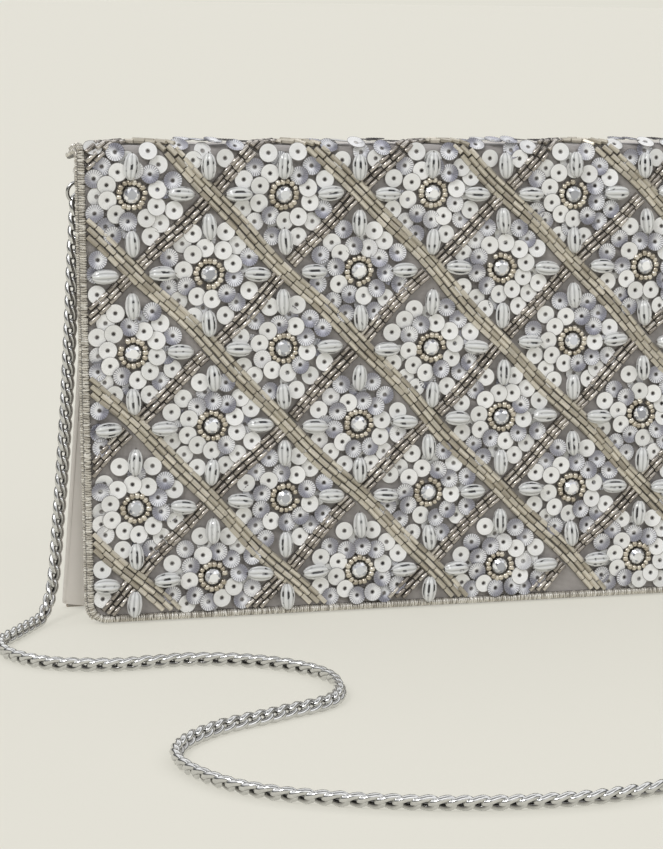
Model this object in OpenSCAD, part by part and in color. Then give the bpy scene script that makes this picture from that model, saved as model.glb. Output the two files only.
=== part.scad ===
// Beaded evening bag: a fold-over flap clutch with a curb-chain strap.
// Millimetres. X runs along the bag, the flap faces -Y, Z is up, and the origin is
// on the ground in the middle of the bag. The bag stands closed on its base.

/* [Bag] */
// Height of the cloth on the top fold
bag_h = 150.2; // [140:0.1:165]
// Flap face to the bag's middle plane, at the ground
face_foot = 11.4; // [9:0.1:13]
// Flap face to the bag's middle plane, at the top
face_top = 6.4; // [5.5:0.1:8]
// Back face to the middle plane, at the ground
back_foot = 15.25; // [14:0.05:20]
// Back face to the middle plane, at the top
back_top = 6.5; // [6:0.1:8]
// Width of the back panel at the ground
back_w_foot = 252.4; // [248:0.1:260]
// Width of the back panel at the top
back_w_top = 235; // [232:0.5:238]
// Width of the front panel at the ground
front_w_foot = 236; // [234:0.5:244]
// Width of the front panel at the top
front_w_top = 234; // [232:0.5:235]

/* [Flap] */
// Width of the flap's cloth at the top fold
flap_w_top = 248.6; // [247:0.1:252]
// Width of the flap's cloth at its lower edge
flap_w_foot = 244.6; // [243:0.1:250]
// Lower edge of the flap above the ground
flap_lift = 1; // [0.6:0.1:2]
// Radius of the flap's lower corners
flap_corner_r = 6; // [4:0.5:10]
// Radius of the front fold
fold_r = 3; // [2.6:0.1:4]

/* [Beading] */
// Half diagonal of a lattice diamond
pitch = 24.25; // [24:0.05:24.5]
// Middle of the first column of flowers
first_col = -107.15; // [-108:0.05:-106]
// Height of the top row of flowers
first_row = 135.5; // [135:0.1:136]
// Width of a band of three bead rows
band_w = 4.6; // [4:0.1:5]
// Thickness of a band of bugle beads
band_t = 1.4; // [1:0.1:1.6]
// Diameter of a sequin
sequin_d = 6; // [5:0.1:6]
// Diameter of a crystal
stone_d = 5.5; // [5:0.1:5.6]
// Length of an oval bead
oval_l = 8.6; // [7:0.1:9]
// Diameter of an oval bead
oval_d = 4.2; // [3.6:0.1:4.4]

/* [Closure] */
// Diameter of the snap's two plates
snap_d = 14; // [12:0.5:18]
// Diameter of the snap's stud
stud_d = 4.4; // [4:0.1:5]
// Height of the snap above the ground
snap_z = 32; // [28:1:40]

/* [Strap] */
// Diameter of the chain over its links
chain_d = 4.6; // [4:0.1:4.6]
// Wire diameter of a D-ring
d_wire = 1.4; // [1.2:0.1:1.5]
// Wire diameter of a chain end ring
end_wire = 1.2; // [1:0.1:1.3]

/* [Hidden] */

// Layers, as depths behind the flap's face (flap and front panel) or the back's outer face
flap_layers = [[0, 0.6], [0.65, 1.85], [1.9, 2.3]];
front_layers = [[2.8, 3.3], [3.35, 4.55], [4.6, 5]];
back_layers = [[0, 0.5], [0.55, 2.05], [2.1, 2.5]];
base_layers = [[0, 0.5], [0.55, 2.05], [2.1, 2.5]];
lean_h = 150;
face_lean = atan((face_foot - face_top) / lean_h);
hinge_y = back_top - 0.5;
hinge_z = bag_h - 0.3;
fold_wire_r = 0.3;
wall_foot_z = 2.9;
wall_top_z = 141;
back_panel_top = bag_h - 2.6;
back_cover_top = hinge_z - 0.7;
binding_out = 0.7;
binding_in = 1.8;
binding_t = 1.2;
cloth_gap = 0.05;
base_inset = 3;
bead_gap = 0.08;
// Bag front and back panels lean towards each other
function face_y(z) = -face_foot + (face_foot - face_top) * z / lean_h;
function back_y(z) = back_foot - (back_foot - back_top) * z / lean_h;
function along(a, b, z) = a + (b - a) * z / lean_h;
function back_half(z) = along(back_w_foot, back_w_top, z) / 2;
function front_half(z) = along(front_w_foot, front_w_top, z) / 2;
function flap_half(z) = along(flap_w_foot, flap_w_top, z) / 2;

// Gussets
gusset_top_z = 139;
gusset_foot_z = 2.6;
valley_foot = [113, 3];
valley_top = [101, 1.6];
gusset_t = 0.5;
gusset_lining_t = 0.35;

// D-ring on its tab
bar_x = 123;
bar_y = 1.2;
bar_z = 142;
d_leg = 2;
d_r = 3.6;
tab_w = 4.6;
tab_wall = 0.7;
tab_root_x = 111.4;
end_ring_r = 3.2;
ring_drop = 1;
d_foot_z = bar_z - d_leg - d_r;
end_ring_z = d_foot_z - ring_drop;

// Chain route: left ring, down beside the flap, over the ground in front, right ring
chain_z = 2.35;
route = [
    [-123.8, 1.2, 131.4], [-125, 0.5, 112], [-126.2, 0, 88], [-127.8, 0, 60], [-130, 0, 32],
    [-132.4, -2, 11], [-138, -11, chain_z], [-147, -25, chain_z], [-153, -35, chain_z],
    [-153, -49, chain_z], [-143, -62, chain_z], [-125, -68, chain_z], [-102, -67, chain_z],
    [-84, -73, chain_z], [-70, -86, chain_z], [-66, -101, chain_z], [-72, -118, chain_z],
    [-90, -128, chain_z], [-110, -138, chain_z], [-123, -152, chain_z], [-125, -169, chain_z],
    [-114, -190, chain_z], [-92, -204, chain_z], [-62, -214, chain_z], [-30, -216, chain_z],
    [4, -208, chain_z], [40, -200, chain_z], [80, -195, chain_z], [114, -180, chain_z],
    [126, -154, chain_z], [108, -130, chain_z], [92, -106, chain_z], [102, -80, chain_z],
    [130, -60, chain_z], [144, -36, chain_z], [140, -12, chain_z], [132.6, -2, 11], [130, 0, 34],
    [126.6, 0, 78], [123.8, 1.2, 131.4]
];
chain_sides = 10;
rings_per_span = 2;

function unit(v) = v / norm(v);
function route_at(i) = route[max(0, min(len(route) - 1, i))];
// Point at fraction t of span i, on a smooth curve through every point of the route
function curve(i, t) = let (a = route_at(i - 1), b = route_at(i), c = route_at(i + 1), d = route_at(i + 2))
    0.5 * (2 * b + (c - a) * t + (2 * a - 5 * b + 4 * c - d) * t * t + (3 * b - a - 3 * c + d) * t * t * t);
// The chain rests on the ground, so no ring lies lower than that
function grounded(p) = [p[0], p[1], max(p[2], chain_z)];
path = [for (i = [0:len(route) - 2], k = [0:rings_per_span - 1]) grounded(curve(i, k / rings_per_span)),
    route_at(len(route))];
rings = len(path);
ahead = [for (i = [0:rings - 1]) unit(path[min(i + 1, rings - 1)] - path[max(i - 1, 0)])];
// Sideways direction of each ring, carried along so that the tube doesn't twist
side = [for (i = 0, s = [0, 1, 0]; i < rings; i = i + 1,
    s = i < rings ? unit(s - (s * ahead[i]) * ahead[i]) : s) s];

// Solid between two loops of points, each counter-clockwise seen from above. The two
// halves of the loop are split on opposite diagonals, so a thin twisted sheet keeps its thickness.
module loft(low, high) {
    n = len(low);
    polyhedron(points = concat(low, high), faces = concat(
        [[for (i = [0:n - 1]) i]],
        [[for (i = [n - 1:-1:0]) n + i]],
        [for (i = [0:n - 1]) i < n / 2 ? [i, n + i, n + (i + 1) % n] : [i, n + i, (i + 1) % n]],
        [for (i = [0:n - 1]) i < n / 2 ? [i, n + (i + 1) % n, (i + 1) % n]
            : [(i + 1) % n, n + i, n + (i + 1) % n]]));
}

// Four corners of a wall's cross-section at height z
function wall_loop(half, y0, y1, z) = [[-half, y0, z], [half, y0, z], [half, y1, z], [-half, y1, z]];

module front_layer(depths, z0, z1, trim = 0) {
    loft(wall_loop(front_half(z0) - trim, face_y(z0) + depths[0], face_y(z0) + depths[1], z0),
        wall_loop(front_half(z1) - trim, face_y(z1) + depths[0], face_y(z1) + depths[1], z1));
}

module back_layer(depths, z0, z1, trim = 0) {
    loft(wall_loop(back_half(z0) - trim, back_y(z0) - depths[1], back_y(z0) - depths[0], z0),
        wall_loop(back_half(z1) - trim, back_y(z1) - depths[1], back_y(z1) - depths[0], z1));
}

module base_layer(depths, y0, y1, trim = 0) {
    half = front_half(0) - base_inset - trim;
    loft(wall_loop(half, y0, y1, depths[0]), wall_loop(half, y0, y1, depths[1]));
}

// Line of a flap layer at a depth, from the lower edge over the front fold to y_end
function flap_line(depth, y_end) = let (zc = bag_h - fold_r, yc = face_y(bag_h - fold_r) + fold_r)
    concat([[face_y(flap_lift) + depth, flap_lift]],
        [for (k = [0:6]) let (a = 180 - face_lean - k * (90 - face_lean) / 6)
            [yc + (fold_r - depth) * cos(a), zc + (fold_r - depth) * sin(a)]],
        [[y_end, bag_h - depth]]);

function reversed(list) = [for (i = [len(list) - 1:-1:0]) list[i]];

// Outline of the flap seen from the front, grown or shrunk by d
module flap_outline(d = 0) {
    r = flap_corner_r + d;
    half = flap_half(0) + d;
    foot = flap_lift - d;
    polygon(concat(
        [[flap_half(lean_h) + d, lean_h + 10], [-flap_half(lean_h) - d, lean_h + 10]],
        [for (a = [180:15:270]) [-half + r + r * cos(a), foot + r + r * sin(a)]],
        [for (a = [270:15:360]) [half - r + r * cos(a), foot + r + r * sin(a)]]));
}

module along_x(length) {
    rotate([90, 0, 90]) linear_extrude(height = length, center = true) children();
}

module through_y() {
    rotate([90, 0, 0]) linear_extrude(height = 80, center = true) children();
}

module flap_layer(depths, y_end, d = 0) {
    intersection() {
        along_x(2 * flap_half(lean_h) + 20)
            polygon(concat(flap_line(depths[0], y_end), reversed(flap_line(depths[1], y_end))));
        through_y() flap_outline(d);
    }
}

// Places children on the flap's face: x along the bag, y up the face, z outwards
module on_face(x = 0, up = 0, out = 0) {
    translate([0, -face_foot, 0]) rotate([90 - face_lean, 0, 0]) translate([x, up, out]) children();
}

module snap_hole(d, depths) {
    on_face(0, snap_z, -depths[1]) cylinder(d = d, h = depths[1] - depths[0], $fn = 48);
}

// Back panel
module back_cover() {
    color("gainsboro") back_layer(back_layers[0], 0.1, back_cover_top);
}

module back_board() {
    color("tan") back_layer(back_layers[1], 0.1, back_panel_top, 1);
}

module back_lining() {
    color("silver") back_layer(back_layers[2], 0.1, back_panel_top, 1);
}

module slip_pocket() {
    pocket_t = 1.3;
    gap_t = 0.8;
    stitch_w = 2;
    outer = [back_layers[2][1] + cloth_gap, back_layers[2][1] + cloth_gap + pocket_t];
    inner = [outer[0] - 0.5, outer[0] + gap_t];
    color("lightgray") difference() {
        back_layer(outer, 36, 108, 52);
        back_layer(inner, 36 + stitch_w, 112, 52 + stitch_w);
    }
}

// Base
module base_cover() {
    color("gainsboro") base_layer(base_layers[0], -8.6, 12.5);
}

module base_board() {
    color("tan") base_layer(base_layers[1], -8.4, 12.5, 1);
}

module base_lining() {
    color("silver") base_layer(base_layers[2], -8.4, 12.5, 1);
}

// Folded side gusset: a front and a back leaf that meet at the valley crease
crease_gap = 0.4;
function back_leaf(inset, t, z, valley) = let (
    edge = [back_half(z) - 1.2 - inset, back_y(z) - back_layers[2][1] - 0.3],
    crease = [valley[0] - inset, valley[1] + crease_gap / 2])
    [[crease[0], crease[1], z], [edge[0], edge[1], z], [edge[0] - t, edge[1], z], [crease[0] - t, crease[1], z]];

function front_leaf(inset, t, z, valley) = let (
    edge = [front_half(z) - 0.6 - inset, face_y(z) + front_layers[2][1] + 0.6],
    crease = [valley[0] - inset, valley[1] - crease_gap / 2])
    [[edge[0], edge[1], z], [crease[0], crease[1], z], [crease[0] - t, crease[1], z], [edge[0] - t, edge[1], z]];

module gusset(inset, t) {
    loft(back_leaf(inset, t, gusset_foot_z, valley_foot), back_leaf(inset, t, gusset_top_z, valley_top));
    loft(front_leaf(inset, t, gusset_foot_z, valley_foot), front_leaf(inset, t, gusset_top_z, valley_top));
}

module left_gusset() {
    color("gainsboro") mirror([1, 0, 0]) gusset(0, gusset_t);
}

module right_gusset() {
    color("gainsboro") gusset(0, gusset_t);
}

module left_gusset_lining() {
    color("silver") mirror([1, 0, 0]) gusset(gusset_t + 0.2, gusset_lining_t);
}

module right_gusset_lining() {
    color("silver") gusset(gusset_t + 0.2, gusset_lining_t);
}

// Cloth tab sewn into the side, looped round the D-ring's bar
module ring_tab() {
    loop_r = d_wire / 2 + 0.12 + tab_wall;
    translate([0, bar_y, 0]) difference() {
        union() {
            translate([bar_x, 0, bar_z]) rotate([90, 0, 0]) cylinder(r = loop_r, h = tab_w, center = true, $fn = 40);
            translate([tab_root_x, -tab_w / 2, bar_z - loop_r * 0.6]) cube([bar_x - tab_root_x, tab_w, loop_r * 1.2]);
        }
        translate([bar_x, 0, bar_z]) rotate([90, 0, 0])
            cylinder(r = d_wire / 2 + 0.12, h = tab_w + 2, center = true, $fn = 40);
    }
}

module left_ring_tab() {
    color("gainsboro") mirror([1, 0, 0]) ring_tab();
}

module right_ring_tab() {
    color("gainsboro") ring_tab();
}

// D-ring: a straight bar, two legs and a half ring hanging from it, in the Y-Z plane
module d_ring() {
    r = d_wire / 2;
    translate([bar_x, bar_y, bar_z]) {
        rotate([90, 0, 0]) cylinder(r = r, h = 2 * d_r, center = true, $fn = 32);
        for (s = [-1, 1]) translate([0, s * d_r, 0]) {
            sphere(r = r, $fn = 32);
            translate([0, 0, -d_leg]) cylinder(r = r, h = d_leg, $fn = 32);
        }
        translate([0, 0, -d_leg]) rotate([90, 180, 90]) rotate_extrude(angle = 180, $fn = 64)
            translate([d_r, 0]) circle(r = r, $fn = 32);
    }
}

module left_d_ring() {
    color("silver") mirror([1, 0, 0]) d_ring();
}

module right_d_ring() {
    color("silver") d_ring();
}

// Front panel, which leans out as the bag is opened
module front_cover() {
    color("gainsboro") difference() {
        front_layer(front_layers[0], wall_foot_z, wall_top_z);
        snap_hole(snap_d + 0.4, [2, 4]);
    }
}

module front_board() {
    color("tan") difference() {
        front_layer(front_layers[1], wall_foot_z, wall_top_z, 0.8);
        snap_hole(snap_d + 0.4, [3, 5]);
    }
}

module front_lining() {
    color("silver") front_layer(front_layers[2], wall_foot_z, wall_top_z, 0.8);
}

module snap_socket() {
    color("silver") difference() {
        snap_hole(snap_d, [2.95, 4.15]);
        snap_hole(stud_d + 1, [2.5, 4.5]);
    }
}

module socket_washer() {
    color("gray") snap_hole(snap_d - 1, [4.2, 4.5]);
}

// Flap
module flap_cover() {
    color("darkgray") flap_layer(flap_layers[0], hinge_y - 0.6);
}

module flap_board() {
    color("tan") difference() {
        flap_layer(flap_layers[1], hinge_y - 2.5, -0.8);
        snap_hole(snap_d + 0.4, [1.4, 2.6]);
        snap_hole(snap_d - 0.6, [0.3, 1.4]);
    }
}

module flap_lining() {
    color("silver") difference() {
        flap_layer(flap_layers[2], hinge_y - 0.6, -0.8);
        snap_hole(snap_d + 0.4, [1.4, 2.6]);
    }
}

// Rolled cloth at the back edge, on the line that the flap turns about
module flap_fold() {
    color("darkgray") translate([0, hinge_y, hinge_z]) along_x(back_w_top) circle(r = fold_wire_r, $fn = 24);
}

module snap_stud() {
    color("silver") {
        snap_hole(snap_d, [1.5, 2.3]);
        snap_hole(stud_d, [2.25, 3.9]);
    }
}

module stud_washer() {
    color("gray") snap_hole(snap_d - 1, [1.05, 1.4]);
}

// Bead cord round the flap's free edges
module edge_binding() {
    color("darkkhaki") union() {
        difference() {
            flap_layer([-binding_t, -cloth_gap], hinge_y - 1.6, binding_out);
            through_y() flap_outline(-binding_in);
        }
        difference() {
            flap_layer([-binding_t, flap_layers[2][1]], hinge_y - 1.6, binding_out);
            through_y() flap_outline(cloth_gap);
        }
    }
}

// Beads sewn over the top fold, as one slab
module fold_beading() {
    color("lightgray") intersection() {
        flap_layer([-band_t, -bead_gap], hinge_y - 3.4, -binding_in - 0.2);
        translate([0, 0, bag_h - fold_r + 25]) cube([300, 60, 50], center = true);
    }
}

// True where a bead of reach r lies inside the binding and below the fold
function on_flap(x, z, r) = abs(x) + r < flap_half(z) - binding_in - 0.2
    && z - r > flap_lift + binding_in + 0.2 && z + r < bag_h - fold_r - 0.4;

// Middles of the lattice's diamonds, partly hidden ones at the edges included
diamonds = [for (row = [-1:6], col = [-1:10]) if ((row + col) % 2 == 0)
    [first_col + col * pitch, first_row - row * pitch]];

module band(k, lean) {
    on_face(first_col + k * pitch, first_row, bead_gap) rotate(lean)
        translate([-260, -band_w / 2, 0]) cube([520, band_w, band_t]);
}

module beaded_area() {
    intersection() {
        through_y() flap_outline(-binding_in - 0.2);
        translate([0, 0, (bag_h - fold_r - 0.3) / 2]) cube([300, 100, bag_h - fold_r - 0.3], center = true);
    }
}

// Bands of bugle beads that run down to the right, over the others
module down_bands() {
    for (k = [-5:2:9]) band(k, -45);
}

module bugle_bands_down() {
    color("darkkhaki") intersection() {
        down_bands();
        beaded_area();
    }
}

// Bands that run up to the right, broken where the others cross
module bugle_bands_up() {
    color("tan") intersection() {
        difference() {
            for (k = [-1:2:15]) band(k, 45);
            for (k = [-5:2:9]) on_face(first_col + k * pitch, first_row, 0) rotate(-45)
                translate([-260, -band_w / 2 - 0.1, -1]) cube([520, band_w + 0.2, 4]);
        }
        beaded_area();
    }
}

// Eight petals round each flower
petal_ring_r = 8.2;
module sequins() {
    color("whitesmoke") for (d = diamonds, k = [0:7]) {
        x = d[0] + petal_ring_r * cos(22.5 + 45 * k);
        z = d[1] + petal_ring_r * sin(22.5 + 45 * k);
        if (on_flap(x, z, sequin_d / 2)) on_face(x, z, bead_gap) difference() {
            cylinder(d = sequin_d, h = 0.4, $fn = 24);
            translate([0, 0, -1]) cylinder(d = 1.1, h = 3, $fn = 16);
        }
    }
}

// Oval bead with cut ends, standing on its long axis
module oval_bead() {
    rotate_extrude($fn = 24) polygon(concat([[0, -oval_l / 2]],
        [for (a = [-75:30:75]) [oval_d / 2 * cos(a), oval_l / 2 * sin(a) / sin(75)]],
        [[0, oval_l / 2]]));
}

// Four ovals point at each diamond's corners
oval_ring_r = 15.4;
module oval_beads() {
    color("white") for (d = diamonds, k = [0:3]) {
        x = d[0] + oval_ring_r * cos(90 * k);
        z = d[1] + oval_ring_r * sin(90 * k);
        if (on_flap(x, z, oval_l / 2)) on_face(x, z, bead_gap + oval_d / 2)
            rotate([0, 0, 90 * k]) rotate([0, 90, 0]) oval_bead();
    }
}

seed_d = 1.7;
module seed_bead_rings() {
    color("darkkhaki") for (d = diamonds) if (on_flap(d[0], d[1], 6)) on_face(d[0], d[1], bead_gap + seed_d / 2)
        rotate_extrude($fn = 48) translate([stone_d / 2 + 0.45 + seed_d / 2, 0]) circle(d = seed_d, $fn = 20);
}

module stone_cups() {
    color("dimgray") for (d = diamonds) if (on_flap(d[0], d[1], 6)) on_face(d[0], d[1], bead_gap) difference() {
        cylinder(d = stone_d + 0.7, h = 1.6, $fn = 32);
        translate([0, 0, 0.3]) cylinder(d = stone_d + 0.1, h = 3, $fn = 32);
    }
}

module crystals() {
    r = stone_d / 2;
    color("azure") for (d = diamonds) if (on_flap(d[0], d[1], 6)) on_face(d[0], d[1], bead_gap + 0.35)
        rotate_extrude($fn = 32) polygon([[0, 0], [r * 0.5, 0], [r, 1], [r, 1.3], [r * 0.55, 2.5], [0, 2.5]]);
}

// Ring that joins the chain to a D-ring, in the X-Z plane
module chain_ring() {
    translate([bar_x + 0.2, bar_y, end_ring_z]) rotate([90, 0, 0]) rotate_extrude($fn = 64)
        translate([end_ring_r, 0]) circle(d = end_wire, $fn = 24);
}

module left_chain_ring() {
    color("silver") mirror([1, 0, 0]) chain_ring();
}

module right_chain_ring() {
    color("silver") chain_ring();
}

// Chain, as a tube of its outer diameter
module chain() {
    ring_pts = [for (i = [0:rings - 1], k = [0:chain_sides - 1]) let (a = 360 * k / chain_sides)
        path[i] + chain_d / 2 * (cos(a) * side[i] + sin(a) * cross(ahead[i], side[i]))];
    color("silver") polyhedron(points = ring_pts, faces = concat(
        [[for (k = [0:chain_sides - 1]) k]],
        [[for (k = [chain_sides - 1:-1:0]) (rings - 1) * chain_sides + k]],
        [for (i = [0:rings - 2], k = [0:chain_sides - 1]) let (n = (k + 1) % chain_sides, at = i * chain_sides)
            [at + k, at + chain_sides + k, at + chain_sides + n, at + n]]));
}

back_cover();
back_board();
back_lining();
slip_pocket();
base_cover();
base_board();
base_lining();
left_gusset();
right_gusset();
left_gusset_lining();
right_gusset_lining();
left_ring_tab();
right_ring_tab();
left_d_ring();
right_d_ring();
front_cover();
front_board();
front_lining();
snap_socket();
socket_washer();
flap_cover();
flap_board();
flap_lining();
flap_fold();
snap_stud();
stud_washer();
edge_binding();
fold_beading();
bugle_bands_down();
bugle_bands_up();
sequins();
oval_beads();
seed_bead_rings();
stone_cups();
crystals();
left_chain_ring();
right_chain_ring();
chain();
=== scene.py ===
import random
from math import atan, atan2, copysign, cos, hypot, pi, radians, sin, sqrt, tan

import bmesh
import bpy
import numpy as np
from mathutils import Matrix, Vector


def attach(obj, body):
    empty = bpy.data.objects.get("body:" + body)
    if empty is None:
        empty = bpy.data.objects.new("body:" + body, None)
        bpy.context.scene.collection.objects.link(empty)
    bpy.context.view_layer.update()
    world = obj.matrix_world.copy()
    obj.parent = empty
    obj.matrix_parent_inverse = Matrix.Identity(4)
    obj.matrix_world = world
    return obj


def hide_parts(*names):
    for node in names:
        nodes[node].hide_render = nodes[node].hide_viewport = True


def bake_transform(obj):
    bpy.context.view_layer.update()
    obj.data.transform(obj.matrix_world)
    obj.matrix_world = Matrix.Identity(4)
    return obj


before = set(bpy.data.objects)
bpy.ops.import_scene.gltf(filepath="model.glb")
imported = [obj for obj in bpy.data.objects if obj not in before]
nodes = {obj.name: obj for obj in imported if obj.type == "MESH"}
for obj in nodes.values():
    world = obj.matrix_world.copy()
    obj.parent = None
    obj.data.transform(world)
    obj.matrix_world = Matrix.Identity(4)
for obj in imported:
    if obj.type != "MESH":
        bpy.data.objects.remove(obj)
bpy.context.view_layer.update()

MM = 0.001
TAU = 2 * pi

# ---------------------------------------------------------------- sizes, in millimetres
BAG_H = 150.2
FACE_FOOT, FACE_TOP = 11.4, 6.4
BACK_FOOT, BACK_TOP = 15.25, 6.5
BACK_HALF_FOOT, BACK_HALF_TOP = 126.2, 117.5
FRONT_HALF_FOOT, FRONT_HALF_TOP = 118.0, 117.0
BASE_HALF = 115.0
FLAP_HALF_FOOT, FLAP_HALF_TOP = 122.3, 124.3
LEAN_H = 150.0
LEAN = atan((FACE_FOOT - FACE_TOP) / LEAN_H)
FOLD_R = 3.0
HINGE_Y = 6.0
FLAP_LIFT = 1.0
CORNER_R = 6.0
BINDING_W = 1.9
PITCH = 24.25
FIRST_COL, FIRST_ROW = -107.15, 135.5
CHAIN_D, CHAIN_Z = 4.6, 2.35

# Camera of the photograph
CAMERA_AT = (-256.0, -771.75, 197.0)
CAMERA_YAW, CAMERA_PITCH, CAMERA_ROLL = 15.6, -9.73, 0.77
VERTICAL_FOV = 19.24

# The chain hangs from the left ring, lies on the ground and rises to the right ring.
CHAIN_ON_GROUND = (
    (-138, -11), (-147, -25), (-153, -35), (-153, -49), (-143, -62), (-125, -68), (-102, -67), (-84, -73),
    (-70, -86), (-66, -101), (-72, -118), (-90, -128), (-110, -138), (-123, -152), (-125, -169), (-114, -190),
    (-92, -204), (-62, -214), (-30, -216), (4, -208), (40, -200), (80, -195), (114, -180), (126, -154),
    (108, -130), (92, -106), (102, -80), (130, -60), (144, -36), (140, -12),
)
CHAIN_ROUTE = [
    (-123.8, 1.2, 131.4), (-125, 0.5, 112), (-126.2, 0, 88), (-127.8, 0, 60), (-130, 0, 32), (-132.4, -2, 11),
    *((x, y, CHAIN_Z) for x, y in CHAIN_ON_GROUND),
    (132.6, -2, 11), (130, 0, 34), (126.6, 0, 78), (123.8, 1.2, 131.4),
]


def along(foot, top, z):
    """Value at height z of something that goes straight from foot, at the ground, to top."""
    return foot + (top - foot) * z / LEAN_H


def face_y(z):
    return -along(FACE_FOOT, FACE_TOP, z)


def back_y(z):
    return along(BACK_FOOT, BACK_TOP, z)


def back_half(z):
    return along(BACK_HALF_FOOT, BACK_HALF_TOP, z)


def front_half(z):
    return along(FRONT_HALF_FOOT, FRONT_HALF_TOP, z)


def flap_half(s):
    return along(FLAP_HALF_FOOT, FLAP_HALF_TOP, min(s, BAG_H))


def unit(v):
    v = np.asarray(v, float)
    return v / np.linalg.norm(v)


# ---------------------------------------------------------------- meshes
def new_mesh(name, verts, faces, smooth=True, sharp=50):
    """Mesh object from points in millimetres. Edges bent more than sharp degrees stay crisp."""
    mesh = bpy.data.meshes.new(name)
    mesh.from_pydata((np.asarray(verts, float) * MM).tolist(), [], [list(map(int, f)) for f in faces])
    mesh.polygons.foreach_set("use_smooth", [smooth] * len(mesh.polygons))
    if smooth:
        mesh.set_sharp_from_angle(angle=radians(sharp))
    obj = bpy.data.objects.new(name, mesh)
    bpy.context.scene.collection.objects.link(obj)
    return obj


def add_point_values(obj, name, values):
    attribute = obj.data.attributes.new(name, "FLOAT", "POINT")
    attribute.data.foreach_set("value", np.asarray(values, np.float32))


def add_uv(obj, uv_of_vertex):
    """UV map from one (u, v) per vertex."""
    layer = obj.data.uv_layers.new(name="UVMap")
    loops = np.zeros(len(obj.data.loops), np.int32)
    obj.data.loops.foreach_get("vertex_index", loops)
    layer.data.foreach_set("uv", np.asarray(uv_of_vertex, np.float32)[loops].ravel())


def ring_faces(order, sides, turned=False):
    """Quads from each ring of vertices to the next in order. turned makes them face the other way."""
    faces = []
    for a, b in zip(order, order[1:]):
        for k in range(sides):
            n = (k + 1) % sides
            quad = (a * sides + k, a * sides + n, b * sides + n, b * sides + k)
            faces.append((quad[0], *quad[:0:-1]) if turned else quad)
    return faces


def end_faces(rings, sides):
    """The two flat faces that close a row of rings."""
    return [tuple(range(sides - 1, -1, -1)), tuple(range((rings - 1) * sides, rings * sides))]


def spun(profile, sides):
    """Closed solid of revolution about X, from a profile of (x, r)."""
    turns = [TAU * k / sides for k in range(sides)]
    verts = [(x, r * cos(a), r * sin(a)) for x, r in profile for a in turns]
    return np.array(verts), ring_faces(range(len(profile)), sides) + end_faces(len(profile), sides)


def rot_x(a):
    c, s = cos(a), sin(a)
    return np.array([[1, 0, 0], [0, c, -s], [0, s, c]])


def rot_z(a):
    c, s = cos(a), sin(a)
    return np.array([[c, -s, 0], [s, c, 0], [0, 0, 1]])


def rot_y(a):
    c, s = cos(a), sin(a)
    return np.array([[c, 0, s], [0, 1, 0], [-s, 0, c]])


class Batch:
    """Copies of small solids in one mesh. Each has its own random number, and a UV from its template."""

    def __init__(self, seed):
        self.verts, self.faces, self.bead, self.uv, self.count = [], [], [], [], 0
        self.random = random.Random(seed)

    def add(self, template, matrix, origin, bead=None, uv=None):
        verts, faces = template
        placed = verts @ np.asarray(matrix).T + np.asarray(origin)
        self.verts.append(placed)
        self.faces.extend([tuple(i + self.count for i in f) for f in faces])
        self.bead.append(np.full(len(verts), self.random.random() if bead is None else bead))
        self.uv.append(verts[:, :2] if uv is None else uv)
        self.count += len(verts)

    def build(self, name, smooth=True):
        obj = new_mesh(name, np.vstack(self.verts), self.faces, smooth)
        add_point_values(obj, "bead", np.concatenate(self.bead))
        add_uv(obj, np.vstack(self.uv))
        return obj


# ---------------------------------------------------------------- the flap's surface
FOLD_Z = BAG_H - FOLD_R
FOLD_Y = face_y(FOLD_Z) + FOLD_R
S_FACE = (FOLD_Z + FOLD_R * sin(LEAN)) / cos(LEAN)
S_TOP = S_FACE + FOLD_R * (pi / 2 - LEAN)


def flap_frame(x, s):
    """Point on the flap at x and s up from the ground line, and its directions along X, up and out."""
    if s <= S_FACE:
        up = np.array([0, sin(LEAN), cos(LEAN)])
        out = np.array([0, -cos(LEAN), sin(LEAN)])
        point = np.array([x, -FACE_FOOT, 0]) + s * up
    elif s <= S_TOP:
        a = pi - LEAN - (s - S_FACE) / FOLD_R
        out = np.array([0, cos(a), sin(a)])
        up = np.array([0, sin(a), -cos(a)])
        point = np.array([x, FOLD_Y, FOLD_Z]) + FOLD_R * out
    else:
        up, out = np.array([0, 1.0, 0]), np.array([0, 0, 1.0])
        point = np.array([x, FOLD_Y + s - S_TOP, BAG_H])
    return point, np.column_stack([np.array([1.0, 0, 0]), up, out])


def on_flap(batch, template, x, s, out, turn, bead=None, uv=None):
    """Adds a copy of template to batch at x, s and out on the flap, turned in the flap's directions."""
    point, axes = flap_frame(x, s)
    batch.add(template, axes @ turn, point + axes[:, 2] * out, bead, uv)


S_END = S_TOP + HINGE_Y - FOLD_Y


def inside_flap(x, s, margin):
    """True if a bead that reaches margin all round lies inside the binding."""
    if abs(x) + margin > flap_half(s) - BINDING_W or s - margin < FLAP_LIFT + BINDING_W:
        return False
    corner_x, corner_s = flap_half(s) - CORNER_R - 1.5, FLAP_LIFT + CORNER_R + 1.5
    if abs(x) > corner_x and s < corner_s:
        return hypot(abs(x) - corner_x, s - corner_s) + margin < CORNER_R - 0.5
    return s + margin < S_END - 2.4


# ---------------------------------------------------------------- materials
def rgba(color):
    """Four channels from three, or from one number for a grey."""
    return (*color, 1) if isinstance(color, tuple) else (color, color, color, 1)


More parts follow.
